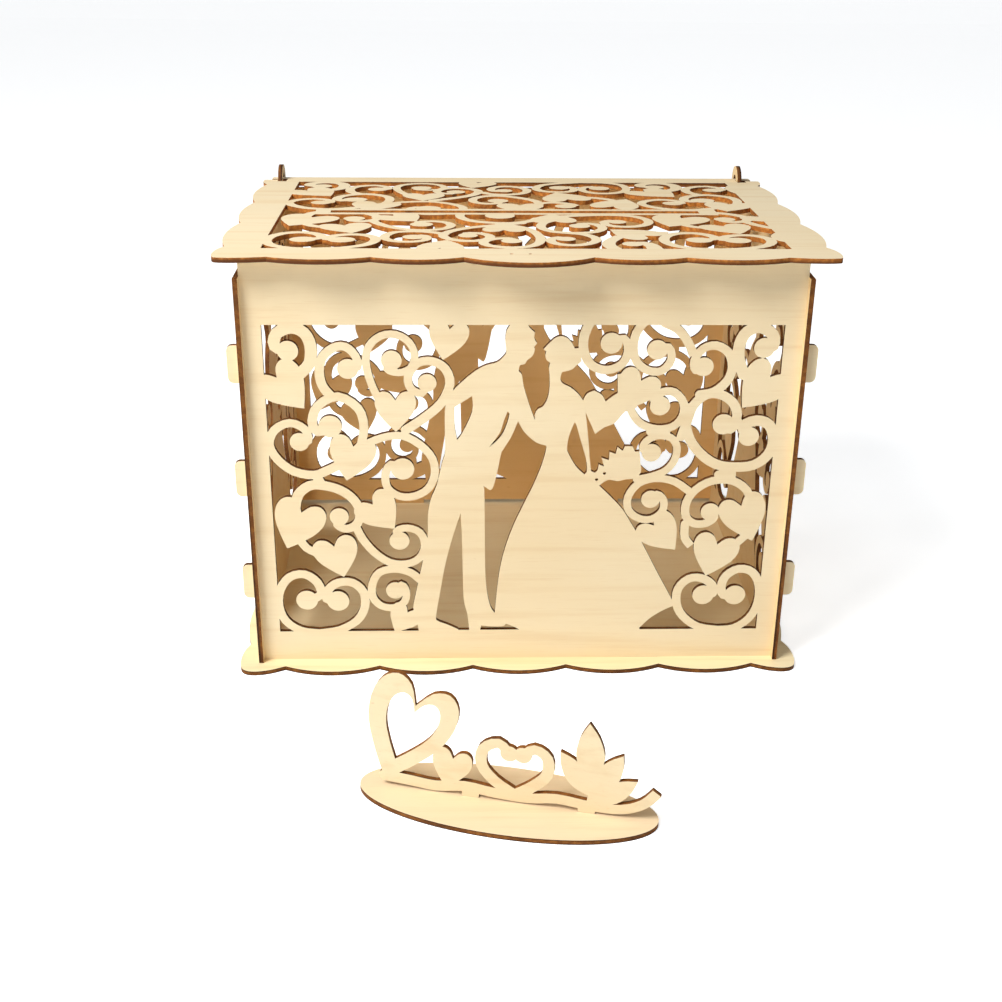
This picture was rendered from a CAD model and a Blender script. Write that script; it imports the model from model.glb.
import math
from collections import namedtuple

import bpy
from mathutils import Matrix, Vector


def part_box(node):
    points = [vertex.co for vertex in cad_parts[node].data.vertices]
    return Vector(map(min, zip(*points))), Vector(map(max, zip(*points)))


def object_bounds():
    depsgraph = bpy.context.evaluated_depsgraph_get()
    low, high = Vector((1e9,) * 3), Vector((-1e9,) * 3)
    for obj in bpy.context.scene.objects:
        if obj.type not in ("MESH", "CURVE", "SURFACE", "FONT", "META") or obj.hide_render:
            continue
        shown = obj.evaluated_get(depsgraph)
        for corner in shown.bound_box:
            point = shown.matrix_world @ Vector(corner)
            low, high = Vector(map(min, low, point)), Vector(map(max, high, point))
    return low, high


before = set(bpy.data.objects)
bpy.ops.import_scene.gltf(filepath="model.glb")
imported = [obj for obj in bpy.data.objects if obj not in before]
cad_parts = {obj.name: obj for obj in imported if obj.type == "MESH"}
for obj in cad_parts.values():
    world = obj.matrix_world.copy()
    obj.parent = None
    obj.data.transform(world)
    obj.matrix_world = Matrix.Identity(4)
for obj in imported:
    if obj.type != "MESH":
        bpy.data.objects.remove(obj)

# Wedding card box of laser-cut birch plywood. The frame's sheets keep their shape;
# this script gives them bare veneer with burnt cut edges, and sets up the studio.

CAD_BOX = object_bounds()
MM = 0.001

# Places worked out from the frame
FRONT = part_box("front_panel")
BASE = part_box("base_plate")
BOX_MIDDLE_X = (FRONT[0].x + FRONT[1].x) / 2
FRONT_Y = FRONT[0].y
FLOOR_Z = BASE[0].z
SET_MIDDLE = (CAD_BOX[0] + CAD_BOX[1]) / 2


# ---- camera and studio --------------------------------------------------------

CAMERA_LEFT_OF_BOX = 33.9 * MM
CAMERA_IN_FRONT = 671.1 * MM
CAMERA_HEIGHT = 406.4 * MM
SENSOR_MM = 36
LENS_MM = 50.58
LOOKS_DOWN = math.radians(24.68)
LOOKS_RIGHT = math.radians(1.97)
TILT = math.radians(0.61)

KEY_WHITE = (1.0, 0.985, 0.96)
FILL_WHITE = (1.0, 0.98, 0.95)
SKY_WHITE = (0.93, 0.96, 1.0, 1)
SKY_STRENGTH = 0.3

PAPER_WHITE = (0.94, 0.95, 0.955, 1)
PAPER_ROUGHNESS = 0.9
PAPER_GLOW = 0.65


def make_camera():
    """Camera in front of the box and above it, a little left of its middle."""
    place = Vector((BOX_MIDDLE_X - CAMERA_LEFT_OF_BOX, FRONT_Y - CAMERA_IN_FRONT,
                    CAMERA_HEIGHT))
    forward = Vector((math.sin(LOOKS_RIGHT) * math.cos(LOOKS_DOWN),
                      math.cos(LOOKS_RIGHT) * math.cos(LOOKS_DOWN),
                      -math.sin(LOOKS_DOWN)))
    level = Vector((math.cos(LOOKS_RIGHT), -math.sin(LOOKS_RIGHT), 0))
    upright = level.cross(forward)
    right = level * math.cos(TILT) + upright * math.sin(TILT)
    up = upright * math.cos(TILT) - level * math.sin(TILT)
    data = bpy.data.cameras.new("camera")
    data.lens = LENS_MM
    data.sensor_width = SENSOR_MM
    data.clip_start = 10 * MM
    camera = bpy.data.objects.new("camera", data)
    bpy.context.scene.collection.objects.link(camera)
    axes = Matrix((right, up, -forward)).transposed()
    camera.matrix_world = Matrix.Translation(place) @ axes.to_4x4()
    bpy.context.scene.camera = camera


def area_light(name, place, size, power, color):
    """Round soft light that faces the middle of the set."""
    data = bpy.data.lights.new(name, "AREA")
    data.shape = "DISK"
    data.size = size
    data.energy = power
    data.color = color
    light = bpy.data.objects.new(name, data)
    bpy.context.scene.collection.objects.link(light)
    light.location = place
    light.rotation_mode = "QUATERNION"
    light.rotation_quaternion = (SET_MIDDLE - Vector(place)).to_track_quat("-Z", "Y")


def make_lights():
    area_light("key", place=(-0.75, -0.60, 1.15), size=0.7, power=21.5, color=KEY_WHITE)
    area_light("left", place=(-1.20, -0.55, 0.45), size=0.6, power=0.3, color=FILL_WHITE)
    world = bpy.data.worlds.new("studio")
    world.use_nodes = True
    background = world.node_tree.nodes["Background"]
    background.inputs["Color"].default_value = SKY_WHITE
    background.inputs["Strength"].default_value = SKY_STRENGTH
    bpy.context.scene.world = world


def make_floor():
    """Pale paper that the box and the sign stand on, curved up far behind them."""
    half_width, near, far, height = 6.0, -3.0, 3.0, 4.0
    bend, bend_steps = 1.2, 12
    profile = [(near, FLOOR_Z), (far, FLOOR_Z)]
    for i in range(1, bend_steps + 1):
        angle = math.pi / 2 * i / bend_steps
        profile.append((far + bend * math.sin(angle),
                        FLOOR_Z + bend * (1 - math.cos(angle))))
    profile.append((far + bend, FLOOR_Z + height))
    points = [(x, y, z) for y, z in profile for x in (-half_width, half_width)]
    faces = [(2 * i, 2 * i + 1, 2 * i + 3, 2 * i + 2) for i in range(len(profile) - 1)]
    mesh = bpy.data.meshes.new("floor")
    mesh.from_pydata(points, [], faces)
    floor = bpy.data.objects.new("floor", mesh)
    bpy.context.scene.collection.objects.link(floor)
    mesh.materials.append(paper())


# ---- shader building blocks ------------------------------------------------------

class Nodes:
    """Adds nodes to one material and links them by value or by socket."""

    def __init__(self, name):
        self.material = bpy.data.materials.new(name)
        self.material.use_nodes = True
        self.tree = self.material.node_tree
        self.shader = self.tree.nodes["Principled BSDF"]

    def add(self, kind, inputs=(), **settings):
        node = self.tree.nodes.new(kind)
        for key, value in settings.items():
            setattr(node, key, value)
        for key, value in dict(inputs).items():
            self.feed(node.inputs[key], value)
        return node

    def feed(self, socket, value):
        if isinstance(value, bpy.types.NodeSocket):
            self.tree.links.new(value, socket)
        else:
            socket.default_value = value

    def math(self, operation, a, b=0.0):
        return self.add("ShaderNodeMath", {0: a, 1: b}, operation=operation).outputs[0]

    def dot(self, a, b):
        node = self.add("ShaderNodeVectorMath", {0: a, 1: b}, operation="DOT_PRODUCT")
        return node.outputs["Value"]

    def span(self, value, low, high, out_low=0.0, out_high=1.0, smooth=True):
        """Maps low to high onto out_low to out_high, and holds the ends."""
        node = self.add("ShaderNodeMapRange", {
            "Value": value, "From Min": low, "From Max": high,
            "To Min": out_low, "To Max": out_high},
            interpolation_type="SMOOTHSTEP" if smooth else "LINEAR")
        return node.outputs["Result"]

    def mix(self, factor, a, b, blend="MIX"):
        node = self.add("ShaderNodeMix", data_type="RGBA", blend_type=blend)
        self.feed(node.inputs["Factor"], factor)
        self.feed(node.inputs["A"], a)
        self.feed(node.inputs["B"], b)
        return node.outputs["Result"]

    def noise(self, vector, scale, detail=2.0, roughness=0.5, distortion=0.0):
        node = self.add("ShaderNodeTexNoise", {
            "Vector": vector, "Scale": scale, "Detail": detail,
            "Roughness": roughness, "Distortion": distortion})
        return node.outputs["Fac"]

    def stretch(self, vector, scale, shift=(0, 0, 0), turn=(0, 0, 0)):
        node = self.add("ShaderNodeMapping", {
            "Vector": vector, "Scale": scale, "Location": shift, "Rotation": turn})
        return node.outputs["Vector"]


def rgb(r, g, b):
    """Linear colour from an sRGB one on 0-255."""
    return tuple(((v / 255 + 0.055) / 1.055) ** 2.4 if v > 10 else v / 255 / 12.92
                 for v in (r, g, b)) + (1.0,)


def paper():
    """White paper. Its glow reaches only the camera and doesn't light the box from below."""
    n = Nodes("floor_paper")
    seen = n.add("ShaderNodeLightPath").outputs["Is Camera Ray"]
    n.shader.inputs["Base Color"].default_value = PAPER_WHITE
    n.shader.inputs["Roughness"].default_value = PAPER_ROUGHNESS
    n.shader.inputs["Emission Color"].default_value = (1, 1, 1, 1)
    n.feed(n.shader.inputs["Emission Strength"], n.math("MULTIPLY", seen, PAPER_GLOW))
    return n.material


# ---- plywood ---------------------------------------------------------------------

FACE_LIGHT = rgb(249, 232, 196)
FACE_WARM = rgb(240, 212, 164)
FACE_STREAK = rgb(226, 192, 140)
SCORCH = rgb(190, 140, 84)
BURNT_DARK = rgb(66, 36, 15)
BURNT_MID = rgb(126, 74, 32)
CORE_LIGHT = rgb(168, 108, 50)

# Broad patches of warmer veneer: patterns per metre along and across the grain, noise
# levels, and how much of the warm colour they bring
PATCH_GRAIN = (6, 14, 14)
PATCH_LEVELS = (0.3, 0.7)
PATCH_WARMTH = (0.1, 0.4)

# Marks laid over the veneer in turn. grain is in patterns per metre along and across the
# grain. detail, roughness and wander shape the noise. start and full are the levels where
# the mark begins and where it has its strength.
Mark = namedtuple("Mark", "name grain detail roughness wander start full strength color")
MARKS = [
    Mark("streaks", (8, 150, 150), 5.0, 0.55, 0.35, 0.48, 0.72, 0.32, FACE_STREAK),
    Mark("pores", (60, 1400, 1400), 2.0, 0.6, 0.0, 0.56, 0.8, 0.25, FACE_STREAK),
    Mark("flecks", (110, 330, 330), 1.0, 0.5, 0.0, 0.8, 0.86, 0.3, SCORCH),
]

# Burnt edge: marks of the beam and soot, in patterns per metre, with their noise levels
# and strength
BEAM_GRAIN = 420
BEAM_DETAIL = 3.0
BEAM_ROUGHNESS = 0.6
BEAM_LEVELS = (0.4, 0.7)
BEAM_STRENGTH = 0.7
SOOT_GRAIN = 60
SOOT_LEVELS = (0.45, 0.75)
SOOT_STRENGTH = 0.6

# How far the lighter core reaches from the middle of the sheet, as a part of its thickness
CORE_FULL = 0.18
CORE_END = 0.42
EDGE_BLUE = 0.8

# Cosine between the surface and the sheet's normal: below the first it is a cut edge,
# above the second a face
EDGE_BELOW = 0.4
FACE_ABOVE = 0.8

SPECULAR = 0.28
SHEEN_LEVELS = (0.3, 0.7)
FACE_ROUGHNESS = (0.5, 0.64)
EDGE_ROUGHER = 0.22

# Relief: its depth, its strength and the share of each pattern
RELIEF = 0.12 * MM
RELIEF_STRENGTH = 0.25
PORE_RELIEF = 0.5
STREAK_RELIEF = 0.6
BEAM_RELIEF = 2.0


def sheet_normal(node):
    """Unit normal of a flat sheet, and where its two faces lie along it."""
    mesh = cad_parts[node].data
    total = Vector()
    for face in mesh.polygons:
        n = face.normal
        side = 1 if max(n, key=abs) > 0 else -1
        total += n * face.area * side * face.area
    normal = total.normalized()
    depths = [v.co.dot(normal) for v in mesh.vertices]
    return normal, min(depths), max(depths)


def veneer(n, place, shift, grain_turn, warmth, tint):
    """Colour of a sheet's faces, and the noise of each mark by name."""
    patches = n.noise(n.stretch(place, PATCH_GRAIN, shift, grain_turn), 1.0)
    least, most = PATCH_WARMTH
    warm = n.span(patches, *PATCH_LEVELS, least + warmth, most + warmth)
    color = n.mix(warm, FACE_LIGHT, FACE_WARM)
    noises = {}
    for mark in MARKS:
        along_grain = n.stretch(place, mark.grain, shift, grain_turn)
        noise = n.noise(along_grain, 1.0, mark.detail, mark.roughness, mark.wander)
        amount = n.span(noise, mark.start, mark.full, 0.0, mark.strength)
        color = n.mix(amount, color, mark.color)
        noises[mark.name] = noise
    return n.mix(1.0, color, tint, "MULTIPLY"), noises


def burnt_edge(n, place, shift, through, edge_tone):
    """Colour of a cut edge, dark at both skins, and the noise of the beam's marks."""
    shifted = n.stretch(place, (1, 1, 1), shift)
    beam = n.noise(shifted, BEAM_GRAIN, BEAM_DETAIL, BEAM_ROUGHNESS)
    soot = n.noise(shifted, SOOT_GRAIN)
    off_middle = n.math("ABSOLUTE", n.math("SUBTRACT", through, 0.5))
    core = n.span(off_middle, CORE_FULL, CORE_END, 1.0, 0.0)
    color = n.mix(core, BURNT_DARK, BURNT_MID)
    beam_marks = n.span(beam, *BEAM_LEVELS, 0.0, BEAM_STRENGTH)
    color = n.mix(n.math("MULTIPLY", core, beam_marks), color, CORE_LIGHT)
    color = n.mix(n.span(soot, *SOOT_LEVELS, 0.0, SOOT_STRENGTH), color, BURNT_DARK)
    tone = (edge_tone, edge_tone, EDGE_BLUE * edge_tone, 1.0)
    return n.mix(1.0, color, tone, "MULTIPLY"), beam


def plywood(node, grain_turn, shift, edge_tone, warmth, tint=(1, 1, 1, 1)):
    """Bare birch veneer on the faces and burnt layers on the cut edges.

    grain_turn turns the x axis of the pattern onto the grain, shift moves the pattern,
    edge_tone above 1 lightens the burnt edges, warmth moves the veneer from cream to
    tan, and tint colours it as a whole."""
    normal, low, high = sheet_normal(node)
    n = Nodes("plywood_" + node)
    coords = n.add("ShaderNodeTexCoord")
    place = coords.outputs["Object"]

    # 0 on a face of the sheet, 1 on a cut edge; then 0 to 1 through the thickness
    facing = n.math("ABSOLUTE", n.dot(coords.outputs["Normal"], normal))
    is_edge = n.span(facing, EDGE_BELOW, FACE_ABOVE, 1.0, 0.0)
    through = n.span(n.dot(place, normal), low, high, smooth=False)

    face_color, noises = veneer(n, place, shift, grain_turn, warmth, tint)
    edge_color, beam = burnt_edge(n, place, shift, through, edge_tone)
    n.feed(n.shader.inputs["Base Color"], n.mix(is_edge, face_color, edge_color))

    sheen = n.span(noises["streaks"], *SHEEN_LEVELS, *FACE_ROUGHNESS)
    n.feed(n.shader.inputs["Roughness"],
           n.math("ADD", sheen, n.math("MULTIPLY", is_edge, EDGE_ROUGHER)))
    n.shader.inputs["Specular IOR Level"].default_value = SPECULAR

    height = n.math("ADD", n.math("MULTIPLY", noises["pores"], PORE_RELIEF),
                    n.math("MULTIPLY", noises["streaks"], STREAK_RELIEF))
    edge_height = n.math("MULTIPLY", n.math("MULTIPLY", beam, is_edge), BEAM_RELIEF)
    bump = n.add("ShaderNodeBump", {
        "Height": n.math("ADD", height, edge_height),
        "Strength": RELIEF_STRENGTH, "Distance": RELIEF})
    n.feed(n.shader.inputs["Normal"], bump.outputs["Normal"])
    return n.material


ALONG_X = (0, 0, 0)
ALONG_Y = (0, 0, math.radians(90))

BASE_TINT = (1.04, 1.04, 0.97, 1)
BACK_TINT = (1.02, 0.85, 0.64, 1)
SIDE_TINT = (0.98, 0.93, 0.84, 1)
FOOT_TINT = (1.0, 0.94, 0.92, 1)

# For each sheet: the grain's direction, shift, edge_tone, warmth and tint of plywood()
SHEETS = {
    "base_plate": (ALONG_X, (0.3, 1.7, 0.2), 0.8, -0.1, BASE_TINT),
    "front_panel": (ALONG_X, (2.1, 0.4, 1.3), 0.5, 0.1),
    "back_panel": (ALONG_X, (4.7, 2.2, 0.9), 0.85, 0.5, BACK_TINT),
    "left_side_panel": (ALONG_Y, (1.1, 5.3, 2.4), 0.78, 0.4, SIDE_TINT),
    "right_side_panel": (ALONG_Y, (3.9, 0.8, 4.1), 0.85, 0.4, SIDE_TINT),
    "lid_panel": (ALONG_X, (6.2, 3.1, 0.5), 2.0, 0.05),
    "sign_base": (ALONG_X, (0.9, 4.4, 3.3), 1.0, 0.0, FOOT_TINT),
    "sign_ornament": (ALONG_X, (5.5, 1.2, 2.8), 1.0, 0.0),
}


def dress_sheets():
    for node, looks in SHEETS.items():
        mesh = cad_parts[node].data
        material = plywood(node, *looks)
        if mesh.materials:
            for i in range(len(mesh.materials)):
                mesh.materials[i] = material
        else:
            mesh.materials.append(material)


make_camera()
make_lights()
make_floor()
dress_sheets()

scene = bpy.context.scene
scene.view_settings.view_transform = "Standard"
scene.view_settings.exposure = 0.0
